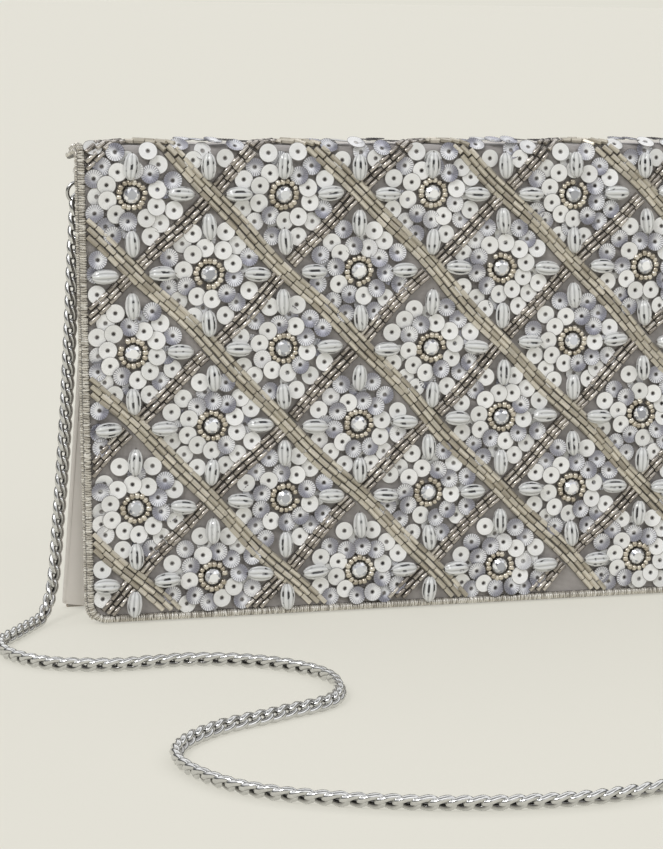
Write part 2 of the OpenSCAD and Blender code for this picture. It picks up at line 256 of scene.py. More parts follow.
class Nodes:
    """Short names for the shader nodes of one tree. A value is a socket to link from, or a constant."""

    def __init__(self, tree):
        self.tree = tree

    def feed(self, socket, value):
        if isinstance(value, bpy.types.NodeSocket):
            self.tree.links.new(value, socket)
        else:
            socket.default_value = rgba(value) if socket.type == "RGBA" else value

    def node(self, kind, **values):
        """New node, with each value put on the input of that name, or else on the node's own setting."""
        n = self.tree.nodes.new("ShaderNode" + kind)
        for key, value in values.items():
            socket = key.replace("_", " ")
            if socket in n.inputs:
                self.feed(n.inputs[socket], value)
            else:
                setattr(n, key, value)
        return n

    def ramp(self, source, *stops):
        """Colour ramp whose stops are (position, colour)."""
        n = self.node("ValToRGB", Fac=source)
        while len(n.color_ramp.elements) < len(stops):
            n.color_ramp.elements.new(0.5)
        for element, (position, color) in zip(n.color_ramp.elements, stops):
            element.position, element.color = position, rgba(color)
        return n.outputs["Color"]

    def mixed(self, factor, a, b, blend="MIX"):
        n = self.node("Mix", data_type="RGBA", blend_type=blend)
        for number, value in ((0, factor), (6, a), (7, b)):
            self.feed(n.inputs[number], value)
        return n.outputs[2]

    def speckled(self, amount, tone, pattern, dark):
        """tone, darkened by that amount towards dark where the pattern is low."""
        return self.mixed(amount, tone, self.mixed(pattern, dark, 1.0), "MULTIPLY")

    def calc(self, operation, a, b=0.0):
        n = self.node("Math", operation=operation)
        self.feed(n.inputs[0], a)
        self.feed(n.inputs[1], b)
        return n.outputs[0]

    def times(self, product, *others):
        for other in others:
            product = self.calc("MULTIPLY", product, other)
        return product

    def plus(self, a, b):
        return self.calc("ADD", a, b)

    def wave(self, source):
        """Humps from 0 to 1, one for each pi of the source."""
        return self.calc("ABSOLUTE", self.calc("SINE", source))

    def along_axis(self, coordinates, axis):
        place = self.node("TexCoord").outputs[coordinates]
        return self.node("SeparateXYZ", Vector=place).outputs[axis]

    def bead_number(self):
        return self.node("Attribute", attribute_name="bead").outputs["Fac"]

    def noise(self, scale, detail, roughness=0.5):
        place = self.node("TexCoord").outputs["Object"]
        n = self.node("TexNoise", Scale=scale, Detail=detail, Roughness=roughness, Vector=place)
        return n.outputs["Fac"]

    def spread(self, source, low, high):
        """Source, 0 to 1, spread from low to high."""
        return self.node("MapRange", Value=source, To_Min=low, To_Max=high).outputs["Result"]

    def eased(self, source, low, high):
        """Smooth step from 0 at low to 1 at high."""
        n = self.node("MapRange", Value=source, From_Min=low, From_Max=high, interpolation_type="SMOOTHSTEP")
        return n.outputs["Result"]

    def weave(self, per_metre):
        """Height of a plain weave with that many threads to the metre."""
        turns = [self.times(self.along_axis("Object", axis), per_metre * pi) for axis in "XZ"]
        warp, weft = (self.calc("SINE", turn) for turn in turns)
        return self.calc("ABSOLUTE", self.times(warp, weft))


class Look(Nodes):
    """A Principled material. coat is the clear coat's weight and roughness."""

    def __init__(self, name, color, roughness, metallic=0.0, coat=(0.0, 0.03), **sockets):
        self.material = bpy.data.materials.new(name)
        self.material.use_nodes = True
        super().__init__(self.material.node_tree)
        self.shader = self.tree.nodes["Principled BSDF"]
        self.set(Base_Color=color, Roughness=roughness, Metallic=metallic, **sockets)
        self.set(Coat_Weight=coat[0], Coat_Roughness=coat[1])

    def set(self, **sockets):
        for key, value in sockets.items():
            self.feed(self.shader.inputs[key.replace("_", " ")], value)

    def bump(self, height, distance, strength):
        n = self.node("Bump", Height=height, Distance=distance, Strength=strength)
        self.set(Normal=n.outputs["Normal"])


def bead_material(name, stops, roughness, metallic, coat):
    """Glass bead: each one has its own shade, with fine mottling over it."""
    look = Look(name, 1.0, roughness, metallic, coat)
    shade = look.ramp(look.bead_number(), *stops)
    look.set(Base_Color=look.speckled(0.35, shade, look.noise(900.0, 2.0), (0.55, 0.53, 0.5)),
             Roughness=look.spread(look.noise(1500.0, 1.0), roughness - 0.12, roughness + 0.12))
    return look.material


def metal_material(name, dark, light, roughness, shade_inside_loop=False):
    """Plated metal, faintly marked by polishing. A chain link can be given painted shade inside its loop, at
    low UV x.
    """
    look = Look(name, light, roughness, 1.0)
    tone = look.mixed(look.noise(700.0, 4.0, 0.65), dark, light)
    if shade_inside_loop:
        # Painted shade: darker inside each link's loop, where the gaps between links are in shade
        inside = look.ramp(look.along_axis("UV", "X"), (0.0, (0.13, 0.125, 0.12)),
                           (0.25, (0.5, 0.49, 0.48)), (0.5, 1.0))
        tone = look.mixed(1.0, tone, inside, "MULTIPLY")
    rough = look.spread(look.noise(1800.0, 2.0), roughness * 0.6, roughness * 1.5)
    look.set(Base_Color=tone, Roughness=rough)
    look.bump(look.noise(2600.0, 2.0), 0.00002, 0.3)
    return look.material


def satin_material(name, dark, light):
    """Satin: a fine close weave with a soft broad sheen."""
    look = Look(name, light, 0.42, Sheen_Weight=0.35, Sheen_Roughness=0.4, Specular_IOR_Level=0.45)
    thread = look.weave(5200.0)
    tone = look.mixed(look.noise(22.0, 3.0, 0.55), dark, light)
    look.set(Base_Color=look.speckled(0.12, tone, thread, (0.35, 0.34, 0.33)),
             Roughness=look.spread(look.noise(60.0, 2.0), 0.35, 0.51))
    look.bump(look.plus(look.times(thread, 0.25), look.noise(90.0, 4.0)), 0.00018, 0.35)
    return look.material


def cloth_material(name, dark, light, per_metre, roughness):
    """Plain weave seen close, with slubs."""
    look = Look(name, light, roughness, Sheen_Weight=0.25, Sheen_Roughness=0.5)
    thread, slub = look.weave(per_metre), look.noise(240.0, 4.0, 0.6)
    look.set(Base_Color=look.speckled(0.4, look.mixed(thread, dark, light), slub, (0.45, 0.44, 0.43)))
    look.bump(look.plus(thread, look.times(slub, 0.8)), 0.00016, 0.5)
    return look.material


def sequin_material():
    """Pearl film with painted shade at its rim and in a ring round its hole, along with the film's own dark
    edge. On some discs, UV gives pressed rays painted dark and a lavender-grey half, both painted reflection.
    """
    look = Look("sequin_pearl", (0.8, 0.8, 0.79), 0.3, 0.12, (0.45, 0.18))
    number = look.bead_number()
    u, v = (look.along_axis("UV", axis) for axis in "XY")
    radius = look.calc("SQRT", look.plus(look.times(u, u), look.times(v, v)))
    rays = look.calc("POWER", look.wave(look.times(look.calc("ARCTAN2", v, u), 11.0)), 2.0)
    # shaded is the side of a disc that gets the painted reflection
    outer, shaded = look.eased(radius, 0.9, 2.3), look.eased(u, -1.2, 1.6)
    fluted = look.ramp(number, (0.0, 0), (0.56, 0), (0.64, 1), (1.0, 1))
    # Mask of the painted reflection: one half of each rayed disc, which is also made shinier and more
    # metallic
    painted_reflection_half = look.times(shaded, fluted, 0.9)
    white = look.ramp(number, (0.0, (0.73, 0.73, 0.72)), (0.5, (0.88, 0.88, 0.875)),
                      (1.0, (0.81, 0.82, 0.86)))
    # Painted reflection: lavender-grey over that half
    tone = look.mixed(painted_reflection_half, white, (0.30, 0.30, 0.36))
    # Painted reflection: dark grey along the pressed rays near the rim
    tone = look.mixed(look.times(outer, rays, fluted, 0.8), tone, (0.17, 0.17, 0.21))
    # Painted shade: dark at the rim, with the film's own dark edge, and in a ring round the hole
    rim = look.ramp(look.times(radius, 1 / 3.2), (0.0, 1), (0.17, 0.25), (0.21, 0.85), (0.26, 0),
                    (0.87, 0), (0.91, 0.85), (1.0, 1))
    look.set(Base_Color=look.mixed(rim, tone, (0.15, 0.14, 0.13)), Roughness=look.spread(painted_reflection_half, 0.30, 0.16),
             Metallic=look.plus(look.times(painted_reflection_half, 0.6), 0.08))
    look.bump(look.plus(look.times(rays, outer), look.times(look.noise(500.0, 2.0), 0.5)), 0.00006, 0.6)
    return look.material


def glass_material(name, tint):
    """Clear fluted acrylic, painted darker down its grooves as painted shade, with dark slits of painted
    shade in some groove bottoms near the middle. UV is flute number and length.
    """
    look = Look(name, tint, 0.06, coat=(0.6, 0.05), Transmission_Weight=0.28, IOR=1.49)
    flute = look.wave(look.times(look.along_axis("UV", "X"), pi))
    # Painted shade: the groove bottoms are darker than the crests
    groove = look.ramp(flute, (0.0, 1), (0.8, 0.95), (0.93, 0.3), (1.0, 0.08))
    from_middle = look.times(look.calc("ABSOLUTE", look.along_axis("UV", "Y")), 0.4)
    slit = look.ramp(from_middle, (0.0, 1), (0.62, 1), (0.95, 0))
    chance = look.ramp(look.noise(330.0, 1.0), (0.0, 0), (0.50, 0), (0.56, 1))
    narrow = look.ramp(flute, (0.0, 0), (0.72, 0), (0.9, 1))
    shaded_tint = look.mixed(groove, tuple(0.62 * c for c in tint), tint)
    # Painted shade: dark slits in some groove bottoms near the middle
    look.set(Base_Color=look.mixed(look.times(slit, chance, narrow), shaded_tint, (0.03, 0.03, 0.035)))
    look.bump(look.noise(900.0, 2.0), 0.00003, 0.4)
    return look.material


def stone_material():
    """Foil-backed crystal: each facet gets a random grey from its UV x, a painted reflection that stands for
    sparkle.
    """
    look = Look("stone_crystal", (0.9, 0.92, 0.95), 0.06, 0.55, (1.0, 0.03))
    # Painted reflection: dark to white greys picked per facet
    shade = look.ramp(look.along_axis("UV", "X"), (0.0, (0.30, 0.31, 0.35)), (0.3, (0.62, 0.64, 0.68)),
                      (0.6, (0.95, 0.96, 0.98)), (1.0, 1))
    look.set(Base_Color=look.speckled(0.2, shade, look.noise(1200.0, 2.0), (0.5, 0.5, 0.55)))
    return look.material


CHAMPAGNE = ((0.0, (0.40, 0.36, 0.29)), (0.35, (0.56, 0.52, 0.43)), (0.7, (0.66, 0.615, 0.52)),
             (1.0, (0.77, 0.72, 0.62)))
SILVERED = ((0.0, (0.30, 0.27, 0.24)), (0.3, (0.42, 0.385, 0.35)), (0.7, (0.54, 0.50, 0.455)),
            (1.0, (0.68, 0.64, 0.59)))
WARM_SEEDS = ((0.0, (0.44, 0.39, 0.31)), (0.5, (0.64, 0.58, 0.48)), (1.0, (0.82, 0.77, 0.67)))
SILVERY = ((0.0, (0.48, 0.45, 0.40)), (0.5, (0.69, 0.66, 0.60)), (1.0, (0.88, 0.86, 0.81)))
MATERIALS = {
    "satin": satin_material("satin", (0.60, 0.565, 0.525), (0.69, 0.655, 0.612)),
    "lining": cloth_material("lining_cloth", (0.34, 0.32, 0.30), (0.50, 0.48, 0.45), 2600.0, 0.7),
    "board": cloth_material("board_edge", (0.30, 0.24, 0.17), (0.46, 0.38, 0.29), 900.0, 0.9),
    "flap_cloth": cloth_material("flap_cloth", (0.32, 0.295, 0.285), (0.50, 0.475, 0.46), 2400.0, 0.75),
    "bugle_down": bead_material("bugle_champagne", CHAMPAGNE, 0.32, 0.25, (0.3, 0.2)),
    "bugle_up": bead_material("bugle_silvered", SILVERED, 0.22, 0.8, (0.4, 0.1)),
    "seed": bead_material("seed_bead", WARM_SEEDS, 0.2, 0.6, (0.5, 0.1)),
    "cord_bead": bead_material("binding_bead", SILVERY, 0.26, 0.5, (0.3, 0.2)),
    "sequin": sequin_material(),
    "oval": glass_material("clear_oval", (0.96, 0.97, 0.97)),
    "stone": stone_material(),
    "cup": metal_material("dark_cup", (0.05, 0.045, 0.04), (0.16, 0.15, 0.13), 0.35),
    "plated": metal_material("bright_plate", (0.42, 0.42, 0.41), (0.66, 0.66, 0.65), 0.16),
    # The chain's links carry painted shade inside their loops
    "chain": metal_material("chain_plate", (0.50, 0.50, 0.49), (0.82, 0.82, 0.81), 0.15, shade_inside_loop=True),
    # Dark thread: real thread through the ovals; the strips under the bugle bands are painted shade, and the
    # binding sleeve is partly painted shade
    "thread": cloth_material("thread", (0.12, 0.11, 0.10), (0.30, 0.28, 0.25), 4000.0, 0.8),
}


def finish_piece(obj, look, body=None, replaced=()):
    """Gives a piece its material, the body it rides and the CAD nodes that it replaces."""
    obj.data.materials.clear()
    obj.data.materials.append(MATERIALS[look])
    if body:
        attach(obj, body)
    if replaced:
        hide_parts(*replaced)
    return obj


# ---------------------------------------------------------------- chain
def catmull(points, steps):
    """Smooth curve through every point; it never goes below the chain's resting height."""
    pts = [np.array(p, float) for p in points]
    out = []
    for i in range(len(pts) - 1):
        a, b = pts[max(i - 1, 0)], pts[i]
        c, d = pts[i + 1], pts[min(i + 2, len(pts) - 1)]
        for k in range(steps):
            t = k / steps
            square, cube = 2 * a - 5 * b + 4 * c - d, 3 * b - a - 3 * c + d
            p = 0.5 * (2 * b + (c - a) * t + square * t * t + cube * t ** 3)
            p[2] = max(p[2], CHAIN_Z)
            out.append(p)
    out.append(pts[-1])
    return np.array(out)


def resampled(points, count):
    """Points at even steps along a polyline, and its whole length."""
    steps = np.linalg.norm(np.diff(points, axis=0), axis=1)
    at = np.concatenate([[0], np.cumsum(steps)])
    wanted = np.linspace(0, at[-1], count)
    return np.column_stack([np.interp(wanted, at, points[:, k]) for k in range(3)]), at[-1]


LINK_PITCH = 4.35
LINK_LONG, LINK_WIRE = 7.95, 1.9
LINK_TWIST = radians(-50)
ROLL_ON_GROUND, ROLL_HANGING = radians(58), radians(82)


def link_template():
    """One twisted curb link along X, centred, and a UV that is 0 inside its loop and 1 outside, which places
    painted shade inside the loop.
    """
    around, sides = 20, 8
    a, b, r = (LINK_LONG - LINK_WIRE) / 2, (CHAIN_D - LINK_WIRE) / 2, LINK_WIRE / 2

    def centre(t):
        phi = LINK_TWIST * cos(t)
        across = b * sin(t)
        return np.array([a * cos(t), across * cos(phi), across * sin(phi)])

    verts, side_of = [], []
    for i in range(around):
        t = TAU * i / around
        here = centre(t)
        ahead = unit(centre(t + 0.02) - centre(t - 0.02))
        outward = unit(here - ahead * (here @ ahead))
        other = np.cross(ahead, outward)
        for k in range(sides):
            w = TAU * k / sides
            verts.append(here + r * (cos(w) * outward + sin(w) * other))
            side_of.append((0.5 + 0.5 * cos(w), i / around))
    return (np.array(verts), ring_faces([*range(around), 0], sides, turned=True)), np.array(side_of)


def make_chain():
    fine = catmull(CHAIN_ROUTE, 24)
    _, length = resampled(fine, 2)
    count = round(length / LINK_PITCH)
    centres, _ = resampled(fine, count)
    template, side_of = link_template()
    batch = Batch(11)
    side = np.array([0, 1.0, 0])
    for i, centre in enumerate(centres):
        ahead = unit(centres[min(i + 1, count - 1)] - centres[max(i - 1, 0)])
        side = unit(side - (side @ ahead) * ahead)
        hanging = min(3 * max(centre[2] - 5, 0), BAG_H)
        roll = along(ROLL_ON_GROUND, ROLL_HANGING, hanging) + batch.random.uniform(-0.07, 0.07)
        up = np.cross(ahead, side)
        turned = cos(roll) * side + sin(roll) * up
        axes = np.column_stack([ahead, turned, np.cross(ahead, turned)])
        wobble = batch.random.uniform(-0.035, 0.035)
        batch.add(template, axes @ rot_z(wobble), centre, uv=side_of)
    obj = batch.build("curb_chain")
    finish_piece(obj, "chain", "root", ["chain"])


# ---------------------------------------------------------------- beading
def diamonds():
    """(x, s) of each flower's middle, cut ones at the edges too. Each is sewn a little off its place."""
    rng = random.Random(77)
    places = [(col, row) for row in range(-1, 7) for col in range(-1, 11) if (row + col) % 2 == 0]
    return [(FIRST_COL + col * PITCH + rng.uniform(-0.9, 0.6),
             FIRST_ROW - 0.9 - row * PITCH + rng.uniform(-0.7, 0.7)) for col, row in places]


def bugle_template(length, r, sides):
    """Straight glass tube along X with ground edges and a thread hole."""
    hole, end = r * 0.42, length / 2
    half = [(end - 0.13, r), (end, r * 0.8), (end, hole), (end - 0.35, hole)]
    return spun([(-x, radius) for x, radius in reversed(half)] + half, sides)


BUGLE_LENGTHS = (3.6, 4.6)
DOWN_BANDS, UP_BANDS = range(-5, 10, 2), range(-1, 16, 2)
DOWN, UP = -pi / 4, pi / 4
CROSSING = 2.45


def off_crossings(x, s):
    """True if (x, s) is clear of every band that runs down to the right."""
    beyond = x - FIRST_COL + s - FIRST_ROW
    return all(abs(beyond - k * PITCH) > CROSSING * sqrt(2) for k in DOWN_BANDS)


def stretches(start, direction, allowed):
    """Intervals of distance along a line from start in which allowed(x, s) holds."""
    found, begun = [], None
    farthest, stride = 275, 0.25
    for d in np.arange(-farthest, farthest + stride / 2, stride):
        ok = allowed(*(start + direction * d))
        if ok and begun is None:
            begun = d
        if not ok and begun is not None:
            found.append((begun, d - stride))
            begun = None
    return found


def cut_lengths(rng, total):
    """Bead lengths that fill a row exactly."""
    lengths = []
    while sum(lengths) < total - 1.8:
        lengths.append(rng.uniform(*BUGLE_LENGTHS))
    scale = total / sum(lengths) if lengths else 1
    return [length * scale for length in lengths]


def make_bands(name, bands, lean, seed, look, node_name, allowed, r, step, sides):
    """Bands of three rows of bugle beads, which sway a little and meet end to end, over dark strips that are
    painted shade between the beads.
    """
    batch, thread_and_shade_strips = Batch(seed), Batch(seed)
    thread = spun([(-0.5, 0.2), (-0.5, 0.5), (0.5, 0.5), (0.5, 0.2)], 8)
    rng = batch.random
    direction = np.array([cos(lean), sin(lean)])
    across = np.array([-sin(lean), cos(lean)])
    for k in bands:
        start = np.array([FIRST_COL + k * PITCH, FIRST_ROW])
        long_sway, short_sway, gaping, *_ = (rng.uniform(0, TAU) for _ in range(5))
        for row in (-1, 0, 1):
            for low, high in stretches(start + across * row * step, direction, allowed):
                d = low
                for length in cut_lengths(rng, high - low):
                    middle = d + length / 2
                    wide, narrow = middle / 15 + long_sway, middle / 6.3 + short_sway
                    bend = 0.62 * sin(wide) + 0.3 * sin(narrow)
                    slope = 0.041 * cos(wide) + 0.048 * cos(narrow)
                    gape = row * 0.2 * sin(middle / 8 + gaping)
                    x, s = start + direction * middle + across * (row * step + bend + gape)
                    out = r + 0.1 + (0.25 if row == 0 else 0.0) + rng.uniform(0, 0.16)
                    yaw, pitch = rng.uniform(-0.03, 0.03), rng.uniform(-0.04, 0.04)
                    turn = rot_z(lean + slope + yaw) @ rot_y(pitch) @ rot_x(rng.uniform(0, TAU))
                    if inside_flap(x, s, 0.2):
                        on_flap(batch, bugle_template(length - 0.26, r, sides), x, s, out, turn)
                        # Painted shade: a dark strip under each bead, in the dark thread material, darkens
                        # the gaps between beads
                        flat = rot_z(lean + slope) @ np.diag([length, 2 * r, 0.3])
                        on_flap(thread_and_shade_strips, thread, x, s, 0.16, flat)
                    d += length
    finish_piece(thread_and_shade_strips.build(f"{name}_thread"), "thread", "flap")
    finish_piece(batch.build(name, smooth=sides > 6), look, "flap", [node_name])


SEQUIN_D, SEQUIN_HOLE = 6.0, 1.1


def sequin_template(sides, ridge, cup):
    """Thin disc with a hole. Its rim stands up by cup, and ridge is the depth of its pressed rays."""
    hole, middle, rim = SEQUIN_HOLE / 2, 1.15, SEQUIN_D / 2
    verts = []
    for thick in (0.14, 0):
        for r in (hole, middle, rim):
            for k in range(sides):
                a = TAU * k / sides
                lift = cup * (r / rim) ** 2 - (0.16 if r == hole else 0)
                if r == rim:
                    lift += ridge if k % 2 else -ridge
                verts.append((r * cos(a), r * sin(a), lift + thick))
    verts = np.array(verts)
    return (verts, ring_faces([0, 1, 2, 5, 4, 3, 0], sides, turned=True)), verts[:, :2]


def sequin_turn(rng, tilt_to, tilt):
    """Turn of a disc that leans by tilt towards the direction tilt_to, spun at random about itself."""
    return rot_z(tilt_to) @ rot_y(tilt) @ rot_z(rng.uniform(0, TAU))


INNER_COUNT, INNER_RING = 10, 8.2
OUTER_RING, OUTER_MIDDLE, OVAL_RING = 13.9, 12.7, 10.8
CLEAR_OF_BACK = 5.6


def pulled_in(x, s, reach):
    """Beads that would cross the binding are sewn just inside it."""
    edge = flap_half(s) - BINDING_W - reach
    if edge < abs(x) < edge + 2.6:
        x = copysign(edge - 0.02, x)
    low = FLAP_LIFT + BINDING_W + reach
    if low - 2.6 < s < low:
        s = low + 0.02
    return x, s


def make_sequins():
    """Sequins of each flower: three in each quarter, one near each oval, and ten round the stone."""
    plain = [sequin_template(24, 0.0, c) for c in (-0.12, 0.06, 0.16)]
    rayed = [sequin_template(40, 0.05, c) for c in (0.2, 0.34)]
    face, fold = Batch(5), Batch(6)
    rng = face.random
    for cx, cs in diamonds():
        placed = []
        for m in range(4):
            placed.append((OUTER_MIDDLE, 45 + 90 * m + rng.uniform(-4, 4), 0.62))
            for w in (-1, 1):
                radius = OUTER_RING + rng.uniform(-0.3, 0.5)
                placed.append((radius, 45 + 90 * m + w * rng.uniform(21, 27), 0.9))
            placed.append((OVAL_RING, 90 * m + rng.uniform(-12, 12), 0.35))
        start = rng.uniform(0, 45)
        for k in range(INNER_COUNT):
            placed.append((INNER_RING + rng.uniform(-0.6, 0.5), start + 360 * k / INNER_COUNT, 1.45))
        for radius, degrees, height in placed:
            a = radians(degrees + rng.uniform(-3, 3))
            x, s = pulled_in(cx + radius * cos(a), cs + radius * sin(a), 2.5)
            if not inside_flap(x, s, 2.2):
                continue
            number = rng.random()
            verts_faces, uv = rng.choice(rayed) if number > 0.62 else rng.choice(plain)
            tilt_to = a + pi / 2 + rng.uniform(-0.2, 0.2)
            turn = sequin_turn(rng, tilt_to, radians(rng.uniform(4, 8)))
            height += rng.uniform(-0.08, 0.12)
            if s > S_END - CLEAR_OF_BACK:
                continue
            batch = fold if s > S_FACE - 2 else face
            on_flap(batch, verts_faces, x, s, height, turn, number, uv)
    finish_piece(face.build("sequin_discs"), "sequin", "flap", ["sequins"])
    finish_piece(fold.build("sequins_on_fold"), "sequin", "flap", ["fold_beading"])


def oval_template(length, d, flutes):
    """Fluted oval bead along X with a thread hole, as a closed solid."""
    sides, rings, hole, lip = flutes * 4, 9, 0.5, 0.28
    verts, uv = [], []
    for t in np.linspace(-0.5, 0.5, rings):
        swell = cos(pi * t) ** 0.5 if abs(t) < 0.5 else 0.0
        r = hole + lip + (d / 2 - hole - lip) * swell
        for k in range(sides):
            a = TAU * k / sides
            fluted = r - 0.5 * swell * (0.5 - 0.5 * cos(flutes * a)) ** 1.6
            verts.append((t * length, fluted * cos(a), fluted * sin(a)))
            uv.append((flutes * k / sides, t * length))
    for x in (length / 2, -length / 2):
        for k in range(sides):
            a = TAU * k / sides
            verts.append((x, hole * cos(a), hole * sin(a)))
            uv.append((0.5, 0))
    return (np.array(verts), ring_faces([*range(rings + 2), 0], sides)), np.array(uv)


OVAL_R = 15.4


def make_ovals():
    batch, thread_and_shade_strips = Batch(7), Batch(8)
    template, uv = oval_template(8.2, 4.9, flutes=7)
    below_fold = S_FACE - 3.4
    thread = spun([(-4.6, 0.05), (-4.6, 0.2), (4.6, 0.2), (4.6, 0.05)], 6)
    rng = batch.random
    for cx, cs in diamonds():
        for k in range(4):
            a = pi / 2 * k
            x = cx + (OVAL_R - 0.3) * cos(a) + rng.uniform(-0.4, 0.4)
            s = cs + (OVAL_R - 0.3) * sin(a) + rng.uniform(-0.4, 0.4)
            x, s = pulled_in(x, s, 3.5)
            if not inside_flap(x, s, 3.2):
                continue
            if below_fold < s < S_TOP + 1.5:
                s = below_fold
            yaw, pitch = rng.uniform(-0.1, 0.1), rng.uniform(-0.06, 0.06)
            turn = rot_z(a + yaw) @ rot_y(pitch) @ rot_x(rng.uniform(0, 1))
            out = 2.25 + rng.uniform(0, 0.3)
            on_flap(batch, template, x, s, out, turn, rng.random(), uv)
            on_flap(thread_and_shade_strips, thread, x, s, out, turn)
    finish_piece(batch.build("fluted_ovals"), "oval", "flap", ["oval_beads"])
    finish_piece(thread_and_shade_strips.build("oval_threads"), "thread", "flap")


def rocaille_template(d, length, sides=10, arc=5):
    """Small round bead along X with a hole."""
    hole, end, round_r = d * 0.2, length / 2, 0.32
    outside = [(end * sin(t), d / 2 - round_r + round_r * cos(t))
               for t in np.linspace(-pi / 2, pi / 2, arc)]
    profile = [(0.2 - end, hole * 0.9), (-end, hole), *outside, (end, hole), (end - 0.2, hole * 0.9)]
    return spun(profile, sides)


SEED_RING_R = 4.0
SEEDS = 16


def full_flowers():
    return [(x, s) for x, s in diamonds() if inside_flap(x, s, 5.5) and s < S_FACE - 4]


def make_seed_beads():
    batch = Batch(9)
    rng = batch.random
    template = rocaille_template(2.15, 1.5)
    small = rocaille_template(1.85, 1.35)
    for cx, cs in full_flowers():
        phase = rng.uniform(0, TAU)
        missing = rng.choice([None, None, None, 3, 7])
        for k in range(SEEDS):
            if missing is not None and k == missing:
                continue
            a = phase + TAU * k / SEEDS + rng.uniform(-0.04, 0.04)
            r = SEED_RING_R + rng.uniform(-0.12, 0.22)
            turn = rot_z(a + pi / 2 + rng.uniform(-0.2, 0.2)) @ rot_y(rng.uniform(-0.25, 0.25))
            bead = rng.choice([template, template, small])
            x, s = cx + r * cos(a), cs + r * sin(a)
            on_flap(batch, bead, x, s, 1.15 + rng.uniform(0, 0.35), turn)
    finish_piece(batch.build("seed_beads"), "seed", "flap", ["seed_bead_rings"])


def stone_template():
    """Round brilliant with its table up, on eight-fold facets and with its culet at the origin."""
    girdle_r = 2.68

    def ring(share, z, count, offset=0.0):
        turns = [TAU * (k + offset) / count for k in range(count)]
        return [(share * girdle_r * cos(a), share * girdle_r * sin(a), z) for a in turns]

    t, m = ring(0.56, 2.35, 8), ring(0.80, 1.95, 8, 0.5)
    g, low = ring(1.0, 1.25, 16), ring(0.97, 1.05, 16)
    facets = [list(t)]
    for k in range(8):
        n = (k + 1) % 8
        facets.append([t[k], m[k], t[n]])
        facets.append([t[n], m[k], g[(2 * k + 2) % 16], m[n]])
        facets.append([m[k], g[2 * k], g[2 * k + 1]])
        facets.append([m[k], g[2 * k + 1], g[(2 * k + 2) % 16]])
    for k in range(16):
        n = (k + 1) % 16
        facets.append([g[k], low[k], low[n], g[n]])
        facets.append([low[k], (0, 0, 0), low[n]])
    return welded(facets)


def welded(facets):
    """Closed solid of shared points from facets given as lists of points."""
    index, faces = {}, []
    for facet in facets:
        keys = [tuple(round(float(c), 5) for c in point) for point in facet]
        faces.append(tuple(index.setdefault(key, len(index)) for key in keys))
    return np.array(list(index)), faces


def make_stones():
    batch = Batch(10)
    rng = batch.random
    stone = stone_template()
    for cx, cs in full_flowers():
        yaw, pitch = rng.uniform(0, TAU), rng.uniform(-0.07, 0.07)
        turn = rot_z(yaw) @ rot_y(pitch) @ rot_x(rng.uniform(-0.07, 0.07))
        on_flap(batch, stone, cx, cs, 0.45, turn)
    obj = batch.build("stone_facets", smooth=False)
    fix_normals(obj)
    # A random number per facet in UV x picks its painted reflection
    corners = obj.data.uv_layers.active.data
    for facet in obj.data.polygons:
        number = rng.random()
        for corner in facet.loop_indices:
            corners[corner].uv = (number, 0.5)
    finish_piece(obj, "stone", "flap", ["crystals"])
    cups = Batch(12)
    profile = [(0.0, 0.3), (0.0, 2.85), (1.35, 2.98), (1.75, 2.9), (1.75, 2.74), (1.4, 2.72), (0.35, 2.6)]
    cup = spun(profile + [(0.3, 0.3)], 24)
    upright = rot_y(-pi / 2)
    claw = spun([(-0.35, 0.05), (-0.3, 0.24), (0.3, 0.24), (0.35, 0.05)], 8)
    claw_r, claw_out = 2.72, 1.86
    for cx, cs in full_flowers():
        on_flap(cups, cup, cx, cs, 0.1, upright)
        for k in range(4):
            a = TAU * k / 4 + 0.6
            on_flap(cups, claw, cx + claw_r * cos(a), cs + claw_r * sin(a), claw_out, rot_z(a))
    finish_piece(cups.build("stone_settings"), "cup", "flap", ["stone_cups"])


# ---------------------------------------------------------------- cloth
# How far the front panel and its lining lie in from the flap's face, and the back's lining from the back's
FRONT_IN, FRONT_LINING_IN, BACK_LINING_IN = 2.8, 4.58, 2.08
BASE_LINING_Z = 2.08


def fix_normals(obj):
    work = bmesh.new()
    work.from_mesh(obj.data)
    bmesh.ops.recalc_face_normals(work, faces=work.faces)
    work.to_mesh(obj.data)
    work.free()


def slab(name, rows, look, body=None, replaced=()):
    """Closed sheet from rows of (outer point, inner point), with as many pairs in each row."""
    grid = np.array(rows, float)
    outer, inner = grid[:, :, 0], grid[:, :, 1]
    size = outer.shape[0] * outer.shape[1]
    number = np.arange(size).reshape(outer.shape[:2])
    corners = zip(number[:-1, :-1].flat, number[:-1, 1:].flat, number[1:, 1:].flat, number[1:, :-1].flat)
    faces = []
    for a, b, c, d in corners:
        faces.append((a, b, c, d))
        faces.append((size + d, size + c, size + b, size + a))
    rim = [*number[0], *number[1:, -1], *number[-1, -2::-1], *number[-2:0:-1, 0]]
    for a, b in zip(rim, rim[1:] + rim[:1]):
        faces.append((b, a, size + a, size + b))
    obj = new_mesh(name, np.vstack([outer.reshape(-1, 3), inner.reshape(-1, 3)]), faces, sharp=60)
    fix_normals(obj)
    return finish_piece(obj, look, body, replaced)


def left_normals(path):
    """Unit normals on the left of a flat line of points."""
    ahead = np.gradient(path, axis=0)
    normal = np.column_stack([-ahead[:, 1], ahead[:, 0]])
    return normal / np.linalg.norm(normal, axis=1)[:, None]


def ripple(x, z, seed, size, wave):
    """Smooth small unevenness of hand-stretched cloth, in millimetres."""
    broad = sin(x / wave + seed) * sin(z / (0.8 * wave) + 1.7 * seed)
    fine = sin(x / (0.43 * wave) + 2.3 * seed) * cos(z / (0.37 * wave) + seed)
    return size * (broad + 0.5 * fine) / 1.5


